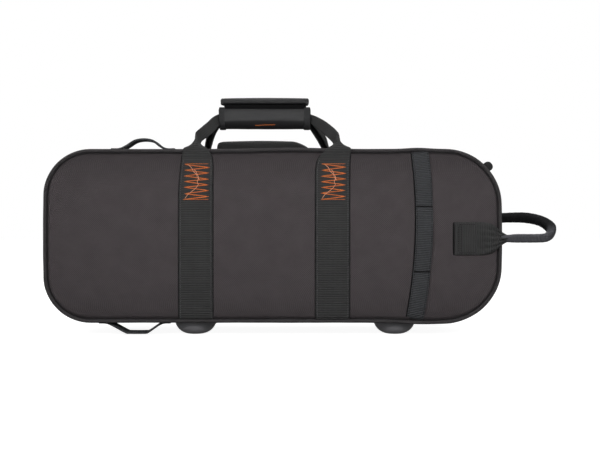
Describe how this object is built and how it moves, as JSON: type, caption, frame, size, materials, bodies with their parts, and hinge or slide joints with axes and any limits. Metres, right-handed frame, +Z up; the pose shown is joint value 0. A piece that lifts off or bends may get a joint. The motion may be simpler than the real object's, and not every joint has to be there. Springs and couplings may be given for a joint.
{
  "type": "telescope carry case",
  "caption": "Long padded fabric case on domed feet that opens like a book, with a wrapped carry handle, an end handle and foam cradles for a telescope tube.",
  "frame": {"origin": "on the floor, under the middle of the bounding box", "axes": "+X along the case towards the end handle, +Y from the base half to the lid half, +Z up through the carry handle"},
  "size_m": [0.7678, 0.1859, 0.3626],
  "materials": {
    "body_fabric": "woven ballistic nylon, matt",
    "wide_webbing": "ribbed polyester webbing",
    "narrow_webbing": "ribbed polyester webbing",
    "piping": "tightly woven piping tape",
    "board": "rigid foam-backed board",
    "lining": "brushed nylon",
    "binding": "grosgrain binding",
    "zip_tape": "woven zip tape with a nylon coil",
    "foam": "open-cell foam under brushed cloth",
    "padding": "padded woven nylon",
    "foot_plastic": "satin",
    "slider_metal": "satin black",
    "screw_steel": "zinc plated",
    "hook_and_loop": "hook-and-loop tape"
  },
  "bodies": {
    "base": {"base_piping": "piping", "base_face_panel": "body_fabric", "base_side_wall": "body_fabric", "base_board": "board", "base_lining": "lining", "base_seam_binding": "binding", "base_zip_tape": "zip_tape", "base_hinge_tape": "zip_tape", "base_feet": "foot_plastic", "base_foot_screws": "screw_steel", "front_strap_left": "wide_webbing", "front_strap_right": "wide_webbing", "floor_foam": "foam", "tube_cradle_left": "foam", "tube_cradle_right": "foam", "tube_strap_left": "narrow_webbing", "tube_strap_right": "narrow_webbing", "long_divider": "foam", "accessory_dividers": "foam", "end_bolster_left": "foam", "end_bolster_right": "foam", "daisy_chain": "narrow_webbing", "lash_loop_top": "narrow_webbing", "lash_loop_bottom": "narrow_webbing", "end_tab": "wide_webbing", "end_root_patch": "body_fabric"},
    "lid": {"lid_piping": "piping", "lid_face_panel": "body_fabric", "lid_side_wall": "body_fabric", "lid_board": "board", "lid_lining": "lining", "lid_seam_binding": "binding", "lid_zip_tape": "zip_tape", "lid_hinge_tape": "zip_tape", "lid_feet": "foot_plastic", "lid_foot_screws": "screw_steel", "lid_foam": "foam", "rear_strap_left": "wide_webbing", "rear_strap_right": "wide_webbing", "top_pad": "padding"},
    "handle": {"front_carry_loop": "wide_webbing", "handle_wrap": "padding", "wrap_bindings": "binding", "wrap_loop_strip": "hook_and_loop"},
    "flap": {"wrap_flap": "padding", "wrap_hook_strip": "hook_and_loop"},
    "rear_loop": {"rear_carry_loop": "wide_webbing"},
    "corner_slider": {"corner_zip_slider": "slider_metal"},
    "corner_pull": {"corner_zip_pull": "foot_plastic"},
    "top_slider": {"top_zip_slider": "slider_metal"},
    "top_pull": {"top_zip_pull": "foot_plastic"},
    "end_handle": {"end_handle_loop": "wide_webbing"}
  },
  "joints": [
    {"name": "lid_hinge", "type": "hinge", "parent": "base", "child": "lid", "pos_m": [0, 0, 0.0203], "axis": [-1, 0, 0], "range_deg": [0, 110], "deforming": ["rear_carry_loop"]},
    {"name": "handle_swing", "type": "hinge", "parent": "base", "child": "handle", "pos_m": [-0.05785, -0.0932, 0.2782], "axis": [1, 0, 0], "range_deg": [-5, 210], "deforming": ["rear_carry_loop"]},
    {"name": "flap_hinge", "type": "hinge", "parent": "handle", "child": "flap", "pos_m": [-0.0601, 0.019, 0.3526], "axis": [-1, 0, 0], "range_deg": [0, 120]},
    {"name": "rear_loop_swing", "type": "hinge", "parent": "lid", "child": "rear_loop", "pos_m": [-0.05785, 0.0932, 0.2782], "axis": [-1, 0, 0], "range_deg": [-5, 210], "deforming": ["rear_carry_loop"]},
    {"name": "corner_slider_travel", "type": "hinge", "parent": "base", "child": "corner_slider", "pos_m": [0.2104, 0, 0.196], "axis": [0, 1, 0], "range_deg": [-36, 36]},
    {"name": "corner_pull_swing", "type": "hinge", "parent": "corner_slider", "child": "corner_pull", "pos_m": [0.27916, 0, 0.24782], "axis": [0, 1, 0], "range_deg": [-50, 50]},
    {"name": "top_slider_travel", "type": "slide", "parent": "base", "child": "top_slider", "axis": [-1, 0, 0], "range_m": [0, 0.48]},
    {"name": "top_pull_swing", "type": "hinge", "parent": "top_slider", "child": "top_pull", "pos_m": [0.1994, 0, 0.2821], "axis": [0, 1, 0], "range_deg": [0, 150]},
    {"name": "end_handle_swing", "type": "hinge", "parent": "base", "child": "end_handle", "pos_m": [0.2989, -0.086, 0.1446], "axis": [0, 0.895, 0.446], "range_deg": [-60, 60]}
  ]
}
